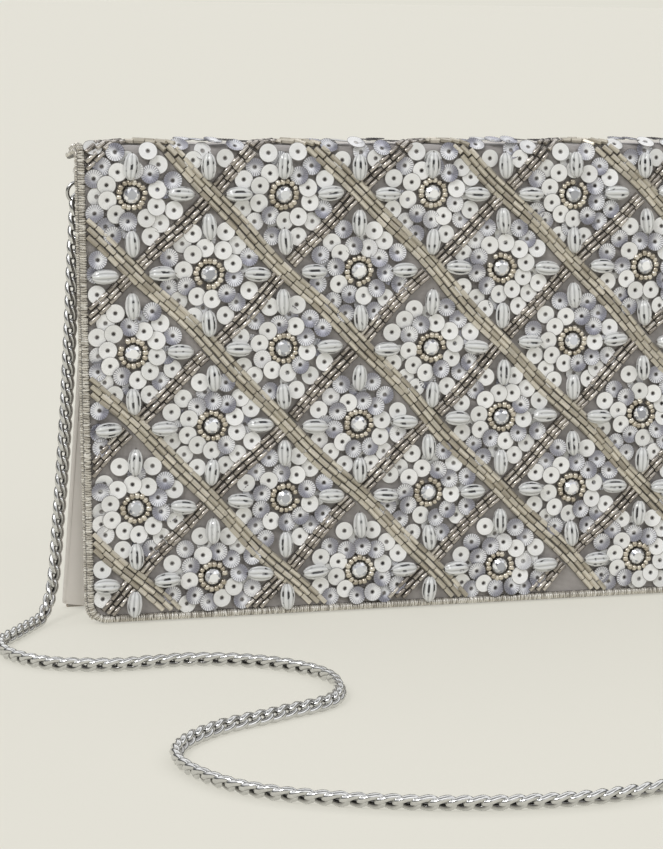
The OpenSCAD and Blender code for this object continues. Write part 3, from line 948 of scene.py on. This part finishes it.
def flap_outline_half(s):
    """Half width of the flap's cloth at s, with its rounded lower corners."""
    drop = max(FLAP_LIFT + CORNER_R - s, 0)
    return flap_half(s) - CORNER_R + sqrt(max(CORNER_R ** 2 - drop ** 2, 0))


def droop(point, x, s):
    """The back corners of the top strip hang down and stand out a little."""
    out = max(abs(x) - 116.5, 0) / 8.5
    back = min(max((s - S_FACE) / (S_END - S_FACE), 0), 1)
    amount = out * out * back
    return point + np.array([copysign(amount, x), 0.4 * amount, -3.0 * amount])


def sheet_on_flap(name, outside, inside, inset, s_end, bumps, look, replaced):
    """Cloth over the whole flap, inset from its edges and between two distances out from its surface."""
    stops = [FLAP_LIFT + inset + CORNER_R * (1 - cos(k * pi / 12)) for k in range(7)]
    stops += [*np.linspace(FLAP_LIFT + CORNER_R + 4, S_FACE, 34)]
    stops += [*np.linspace(S_FACE, S_TOP, 9)[1:], *np.linspace(S_TOP, s_end, 6)[1:]]
    rows = []
    for s in stops:
        half = flap_outline_half(max(s - inset, FLAP_LIFT)) - inset
        row = []
        for x in half * np.linspace(-1, 1, 83):
            point, axes = flap_frame(x, s)
            point = droop(point, x, s) + axes[:, 2] * ripple(x, s, 1.3, bumps, 9.0)
            row.append((point + axes[:, 2] * outside, point + axes[:, 2] * inside))
        rows.append(row)
    slab(name, rows, look, "flap", [replaced])


def binding_path(step):
    """Points (x, s, outward x, outward s) round the flap's three free edges, step apart."""
    low = FLAP_LIFT + CORNER_R
    half = flap_half(low)
    points = [(-flap_half(s), s, -1, 0) for s in np.arange(S_END - 1.6, low, -0.25)]
    for a in np.linspace(pi, 1.5 * pi, 25):
        outward = cos(a), sin(a)
        points.append((CORNER_R - half + CORNER_R * outward[0], low + CORNER_R * outward[1], *outward))
    points += [(x, FLAP_LIFT, 0, -1) for x in np.arange(CORNER_R - half, 0, 0.25)]
    left = np.array(points)
    both = np.vstack([left, left[::-1] * np.array([-1, 1, -1, 1])])
    steps = np.linalg.norm(np.diff(both[:, :2], axis=0), axis=1)
    at = np.concatenate([[0], np.cumsum(steps)])
    wanted = np.linspace(0, at[-1], int(at[-1] / step))
    return np.column_stack([np.interp(wanted, at, both[:, k]) for k in range(4)])


def make_binding():
    """A cloth sleeve folded round the edge, with two rows of small beads threaded along it. Along the bottom
    edge the sleeve's dark cloth shows below the beads, partly as painted shade.
    """
    profile = [(-1.9, 0.12), (-1.2, 0.42), (-0.2, 0.5), (0.5, 0.1), (0.8, -0.9), (0.7, -1.8),
               (0.1, -2.35), (-1.2, -2.5), (-1.9, -2.38), (-1.0, -2.2), (0.05, -1.2), (-0.9, -0.1)]
    path = binding_path(2.0)
    verts = []
    for x, s, nx, ns in path:
        for off_edge, out in profile:
            px, ps = x + off_edge * nx, s + off_edge * ns
            point, axes = flap_frame(px, ps)
            verts.append(droop(point, px, ps) + axes[:, 2] * out)
    faces = ring_faces(range(len(path)), len(profile), turned=True) + end_faces(len(path), len(profile))
    sleeve = new_mesh("binding_sleeve", verts, faces)
    fix_normals(sleeve)
    finish_piece(sleeve, "thread", "flap")
    batch = Batch(31)
    rng = batch.random
    for off_edge, out, d, pitch in ((-0.7, 0.5, 2.5, 0.72), (0.42, -0.85, 1.9, 0.74)):
        template = rocaille_template(d, 0.74, sides=8, arc=4)
        for x, s, nx, ns in binding_path(pitch):
            # The outer row is left off along the bottom edge, so that the dark sleeve, real cloth, shows
            # there and also stands as painted shade under the binding
            if off_edge > 0 and ns < -0.8:
                continue
            px, ps = x + off_edge * nx, s + off_edge * ns
            point, axes = flap_frame(px, ps)
            turn = rot_z(atan2(nx, -ns) + rng.uniform(-0.22, 0.22)) @ rot_y(rng.uniform(-0.2, 0.2))
            shift = axes[:, 2] * (out + rng.uniform(-0.1, 0.1))
            scale = rng.uniform(0.88, 1.06)
            batch.add(template, axes @ turn * scale, droop(point, px, ps) + shift)
    finish_piece(batch.build("binding_beads"), "cord_bead", "flap", ["edge_binding"])


def edge_turns(side, share, count):
    """Angles round a panel's side edge: from behind to the front on the left, and back on the right."""
    turns = np.linspace(pi * share, 0, count)
    return turns if side < 0 else turns[::-1]


def make_body_satin():
    """Base and back in one piece: over the base's front edge, under it, up the back, round the sides."""
    r, wrap, thick, top = 0.75, 1.25, 0.45, 147.4
    path = [(-8.9, z, -1.0, 0.0) for z in (2.35, 1.8, 1.0)]
    for a in (0.5, 1.0):
        path.append((-8.2 - 0.7 * cos(a), r - 0.7 * sin(a), -cos(a), -sin(a)))
    path += [(y, 0.05, 0.0, -1.0) for y in np.linspace(-8.0, 14.0, 8)]
    for a in np.linspace(-pi / 2, 0, 7)[1:]:
        path.append((back_y(r) - r + r * cos(a), r + r * sin(a) + 0.05, cos(a), sin(a)))
    path += [(back_y(z), z, 1.0, 0.058) for z in (1.0, 1.3, 2.0, *np.linspace(3.5, top, 44))]
    rows = []
    for y, z, ny, nz in path:
        rise = min(max((z - 0.05) / 2.0, 0), 1) if y > 0 else 0
        half = BASE_HALF + (back_half(z) + 0.55 - BASE_HALF) * sqrt(1 - (1 - rise) ** 3)
        curl = wrap * rise + 0.05
        under = max(curl - thick, 0.02)

        def beneath(x, depth, floor=0.0):
            return x, y - ny * depth, max(z - nz * depth, floor)

        row = []
        for side in (-1, 1):
            for a in edge_turns(side, 0.95, 9):
                outer = beneath(side * (half - curl + curl * sin(a)), curl * (1 - cos(a)))
                inner = beneath(side * (half - curl + under * sin(a)), curl - under * cos(a), 0.1)
                row.append((outer, inner))
            if side < 0:
                for x in (half - wrap) * np.linspace(-1, 1, 43)[1:-1]:
                    puff = (ripple(x, z, 2.1, 0.16, 34.0) - 0.1) * rise
                    row.append((beneath(x, -puff), beneath(x, 0.5 - puff, 0.12)))
        rows.append(row)
    slab("body_satin", rows, "satin", "root", ["back_cover", "base_cover"])


GUSSET_FOOT, GUSSET_LOW, GUSSET_HIGH = 1.2, 2.6, 139.0


def gusset_path(z, inset):
    """Soft inward fold of a side gusset at height z, from the back edge to the front edge."""
    t = (z - GUSSET_LOW) / (GUSSET_HIGH - GUSSET_LOW)
    back = np.array([back_half(z) + 0.45 - 2.0 * inset, back_y(z) - 1.9 + 0.2 * inset])
    valley = np.array([113 - 12 * t - inset, 3 - 1.4 * t])
    front = np.array([front_half(z) - 0.5 - inset, face_y(z) + 5.2 + 0.7 * inset])
    bulge = 1.3 + 0.5 * sin(z / 21.0)
    points = []
    for start, end, lean, first in ((back, valley, (0.3, 0.36), 0), (valley, front, (0.225, -0.27), 1)):
        for u in np.linspace(0, 1, 13)[first:]:
            points.append(start * (1 - u) + end * u + np.array(lean) * bulge * sin(pi * u))
    smooth = np.array(points)
    for _ in range(3):
        smooth[1:-1] = (smooth[:-2] + 2 * smooth[1:-1] + smooth[2:]) / 4
    return smooth


def make_gusset(name, side, inset, thick, look, replaced):
    rows = []
    for z in [GUSSET_FOOT, *np.linspace(3.0, GUSSET_HIGH, 46)]:
        below = max(GUSSET_LOW - z, 0) / (GUSSET_LOW - GUSSET_FOOT)
        points = gusset_path(max(z, GUSSET_LOW), inset)
        normal = left_normals(points)
        if normal[0, 0] < 0:
            normal = -normal
        points[:, 0] -= 0.5 * below ** 2
        rows.append([((side * p[0], p[1], z), (side * q[0], q[1], z))
                     for p, q in zip(points, points - normal * thick)])
    obj = slab(name, rows, look)
    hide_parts(replaced)
    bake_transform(obj)


def make_front_satin():
    """Front panel's cover: over the outside, round its side and lower edges, and hemmed over the top."""
    wrap, thick, hem_z = 1.08, 0.38, 139.8
    stops = [(2 * wrap, 3.3), (1.6 * wrap, 2.9), (0.5 * wrap, 2.85), (0.08 * wrap, 3.15)]
    stops += [(0.0, z) for z in np.linspace(3.6, hem_z, 36)]
    for a in np.linspace(pi, 0, 9)[1:-1]:
        stops.append((wrap * (1 + cos(a)), hem_z + 0.3 + wrap * sin(a)))
    stops += [(2 * wrap, z) for z in np.linspace(139.6, 126, 6)]
    rows = []
    for depth, z in stops:
        half, outside = front_half(z), face_y(z) + FRONT_IN
        row = []
        for side in (-1, 1):
            for a in edge_turns(side, 0.92, 8):
                x = side * (half - wrap + wrap * sin(a))
                y = outside + max(depth, wrap * (1 - cos(a)))
                row.append(((x, y, z), (x - side * 0.35 * sin(a), y + thick * cos(a), z)))
            if side < 0:
                for t in np.linspace(-1, 1, 49)[1:-1]:
                    flat = z > hem_z or depth > wrap
                    y = outside + depth - (0 if flat else ripple(t * half, z, 3.7, 0.1, 30.0))
                    x, away = t * (half - wrap), thick if depth < wrap else -thick
                    row.append(((x, y, z), (x, y + away, z)))
        rows.append(row)
    slab("front_satin", rows, "satin", "front_panel", ["front_cover"])


def flat_cloth(name, place, faces_to, thick, bumps, seed, body, replaced, count=26):
    """Lining laid flat. place(u, v) is a point for u and v from 0 to 1, and faces_to is its open side."""
    normal = np.array(faces_to)
    rows = []
    for v in np.linspace(0, 1, count):
        row = []
        for u in np.linspace(0, 1, 50):
            x, y, z = place(u, v)
            rim = min(min(u, 1 - u) * 80, min(v, 1 - v) * 140 / 3, 1)
            puff = ripple(x, z + y, seed, bumps, 22.0) * rim
            row.append(((x, y, z) + normal * (thick * (0.5 + 0.5 * rim) + puff * 0.5), (x, y, z)))
        rows.append(row)
    slab(name, rows, "lining", body, replaced)


TO_FRONT, TO_BACK, TO_TOP = (0, -1, 0), (0, 1, 0), (0, 0, 1)


def make_linings():
    def back_side(u, v):
        z = 0.4 + v * 147.0
        return (2 * u - 1) * (back_half(z) - 1.2), back_y(z) - BACK_LINING_IN, z

    def front_side(u, v):
        z = 3.0 + v * 124.5
        return (2 * u - 1) * (front_half(z) - 1.0), face_y(z) + FRONT_LINING_IN, z

    def base_side(u, v):
        return (2 * u - 1) * (BASE_HALF - 1.2), -8.2 + v * 20.5, BASE_LINING_Z

    flat_cloth("back_lining_cloth", back_side, TO_FRONT, 0.42, 0.12, 0.4, "root", ["back_lining"])
    flat_cloth("front_lining_cloth", front_side, TO_BACK, 0.42, 0.12, 1.9, "front_panel", ["front_lining"])
    flat_cloth("base_lining_cloth", base_side, TO_TOP, 0.42, 0.1, 2.6, "root", ["base_lining"], 8)


def make_pocket():
    """Slip pocket with a turned hem along its mouth, and stitches along the hem and the other sides."""
    low, high, half, hem, stitch_pitch = 36.0, 108.0, 65.8, 7, 2.9

    def sag(x, z):
        return 0.35 * cos(pi * x / (2 * half)) * (z - low) / (high - low)

    def pocket_side(u, v):
        x, z = (2 * u - 1) * half, low + v * (high - low)
        return x, back_y(z) - 2.73 - sag(x, z), z

    def hem_side(u, v):
        x, z = (2 * u - 1) * half, high - hem + v * hem
        return x, back_y(z) - 3.34 - sag(x, high), z

    flat_cloth("pocket_cloth", pocket_side, TO_FRONT, 0.5, 0.2, 5.1, "root", ["slip_pocket"], 18)
    flat_cloth("pocket_hem", hem_side, TO_FRONT, 0.4, 0.05, 4.4, "root", (), 6)
    batch = Batch(41)
    stitch = spun([(-1.1, 0.04), (-0.9, 0.16), (0.9, 0.16), (1.1, 0.04)], 6)
    lengthwise, upright = np.eye(3), rot_y(-pi / 2)
    row = np.arange(-half + 2, half - 1, stitch_pitch)
    spots = [(x, low + 1.4, lengthwise) for x in row]
    for side in (-1, 1):
        spots += [(side * (half - 1.4), z, upright) for z in np.arange(low + 3, high - 1, stitch_pitch)]
    spots += [(x, high - 6.2, lengthwise) for x in row]
    for x, z, axes in spots:
        on_hem = 0.5 if z > high - hem - 0.5 else 0.0
        batch.add(stitch, axes, (x, back_y(z) - 3.26 - sag(x, z) - on_hem, z))
    finish_piece(batch.build("pocket_stitches"), "lining", "root")


def make_fold_strip():
    """Satin strip that turns over the hinge, from the flap's lining to the top of the back."""
    path = np.array([(2.2, 148.0), (3.6, 149.3), (4.7, 150.25), (5.6, 150.6), (6.35, 150.35),
                     (6.75, 149.6), (6.86, 148.4), (6.95, 146.9), (7.05, 145.2)])
    rows = []
    for (y, z), (ny, nz) in zip(path, left_normals(path)):
        row = []
        for x in (back_half(150) - 0.6) * np.linspace(-1, 1, 61):
            out = 0.2 + 0.07 * sin(x / 3.1) * sin(x / 7.7)
            row.append(((x, y + ny * out, z + nz * out), (x, y - ny * 0.2, z - nz * 0.2)))
        rows.append(row)
    obj = slab("hinge_strip", rows, "satin")
    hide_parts("flap_fold")
    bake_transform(obj)


def make_ring_tab(name, side, node_name):
    """Strap of cloth looped round the D-ring's bar and stitched flat behind it."""
    loop, flat, bar_x, bar_z = 1.18, 0.62, 123.0, 142.0
    rises = [(x, flat + (loop - flat) * max(0, (x - 117) / 6) ** 1.5) for x in np.linspace(111.4, bar_x, 12)]
    line = [(x, bar_z + rise) for x, rise in rises]
    for a in np.linspace(0, pi, 11)[1:-1]:
        line.append((bar_x + loop * sin(a), bar_z + loop * cos(a)))
    line = np.array(line + [(x, bar_z - rise) for x, rise in reversed(rises)])
    rows = []
    for (x, z), (nx, nz) in zip(line, left_normals(line)):
        row = []
        for t in np.linspace(-1, 1, 9):
            y, thick = 1.2 + 2.3 * t, 0.3 * sqrt(max(1 - t ** 6, 0.05))
            row.append([(side * (x + nx * out), y, z + nz * out) for out in (thick, -thick)])
        rows.append(row)
    slab(name, rows, "satin", "root", [node_name])


def make_cloth_parts():
    sheet_on_flap("flap_cloth_face", 0.02, -0.58, 0.0, S_END - 0.7, 0.12, "flap_cloth", "flap_cover")
    sheet_on_flap("flap_lining_cloth", -1.92, -2.36, 0.9, S_END - 0.9, 0.05, "lining", "flap_lining")
    make_binding()
    make_body_satin()
    for name, side in (("left", -1), ("right", 1)):
        make_gusset(f"{name}_gusset_satin", side, 0.0, 0.42, "satin", f"{name}_gusset")
        make_gusset(f"{name}_gusset_cloth", side, 0.62, 0.3, "lining", f"{name}_gusset_lining")
        make_ring_tab(f"{name}_tab_cloth", side, f"{name}_ring_tab")
    make_front_satin()
    make_linings()
    make_pocket()
    make_fold_strip()


# ---------------------------------------------------------------- camera, light and floor
def make_camera():
    data = bpy.data.cameras.new("camera")
    data.sensor_fit = "VERTICAL"
    data.sensor_height = 24
    data.lens = data.sensor_height / 2 / tan(radians(VERTICAL_FOV) / 2)
    data.clip_start, data.clip_end = 0.01, 100
    obj = bpy.data.objects.new("camera", data)
    bpy.context.scene.collection.objects.link(obj)
    yaw, pitch, roll = (radians(a) for a in (CAMERA_YAW, CAMERA_PITCH, CAMERA_ROLL))
    forward = Vector((sin(yaw) * cos(pitch), cos(yaw) * cos(pitch), sin(pitch)))
    right = Vector((cos(yaw), -sin(yaw), 0))
    up = right.cross(forward)
    rolled_right = right * cos(roll) + up * sin(roll)
    rolled_up = up * cos(roll) - right * sin(roll)
    matrix = obj.matrix_world.copy()
    place = [c * MM for c in CAMERA_AT]
    for column, values in enumerate((rolled_right, rolled_up, -forward, place)):
        for row in range(3):
            matrix[row][column] = values[row]
    obj.matrix_world = matrix
    bpy.context.scene.camera = obj


BACKDROP = (0.759, 0.744, 0.665)


def make_world():
    """Backdrop colour to just over the horizon, then a dark band, a bright ring and a grey top."""
    world = bpy.data.worlds.new("studio")
    bpy.context.scene.world = world
    world.use_nodes = True
    sky = Nodes(world.node_tree)
    height = sky.times(sky.plus(sky.along_axis("Generated", "Z"), 1.0), 0.5)
    color = sky.ramp(height, (0.0, BACKDROP), (0.535, BACKDROP), (0.58, 0.10), (0.70, 0.14),
                     (0.76, (1.1, 1.1, 1.11)), (0.88, (1.2, 1.2, 1.21)), (0.93, 0.25))
    background = world.node_tree.nodes["Background"]
    sky.feed(background.inputs["Color"], color)
    background.inputs["Strength"].default_value = 1.0


def add_sun(name, towards, strength, angle):
    """Soft sun that shines from that direction."""
    light = bpy.data.lights.new(name, "SUN")
    light.energy, light.angle = strength, radians(angle)
    obj = bpy.data.objects.new(name, light)
    bpy.context.scene.collection.objects.link(obj)
    obj.rotation_mode = "QUATERNION"
    obj.rotation_quaternion = (-Vector(towards)).to_track_quat("-Z", "Y")


def make_lights():
    add_sun("key", (-0.8, -0.7, 0.95), 0.95, 18)
    add_sun("front", (0.3, -1.0, 0.5), 0.3, 50)
    add_sun("top", (0.1, 0.35, 1.0), 0.35, 50)


def make_floor():
    """Paper sweep: a broad disc that glows a little, so that it meets the backdrop without an edge."""
    count, reach = 48, 60000
    turns = [TAU * k / count for k in range(count)]
    verts = [(0, 0, 0)] + [(reach * cos(a), reach * sin(a), 0) for a in turns]
    faces = [(0, k + 1, (k + 1) % count + 1) for k in range(count)]
    obj = new_mesh("floor", verts, faces, False)
    paper = Look("paper_floor", (0.30, 0.29, 0.26), 0.9, Specular_IOR_Level=0.1,
                 Emission_Color=BACKDROP, Emission_Strength=0.62)
    obj.data.materials.append(paper.material)


make_camera()
make_world()
make_lights()
make_floor()
make_chain()
make_bands("bugles_down", DOWN_BANDS, DOWN, 21, "bugle_down", "bugle_bands_down",
           lambda x, s: inside_flap(x, s, 0.4), 0.84, 1.84, 6)
make_bands("bugles_up", UP_BANDS, UP, 22, "bugle_up", "bugle_bands_up",
           lambda x, s: inside_flap(x, s, 0.4) and off_crossings(x, s), 0.75, 1.62, 10)
make_sequins()
make_ovals()
make_seed_beads()
make_stones()
make_cloth_parts()

bpy.context.scene.view_settings.view_transform = "Standard"

CAD_LOOKS = {
    "board": ("back_board", "base_board", "front_board", "flap_board"),
    "plated": ("left_d_ring", "right_d_ring", "snap_socket", "snap_stud", "socket_washer", "stud_washer",
               "left_chain_ring", "right_chain_ring"),
}
for look, names in CAD_LOOKS.items():
    for name in names:
        for material_slot in nodes[name].material_slots:
            material_slot.material = MATERIALS[look]
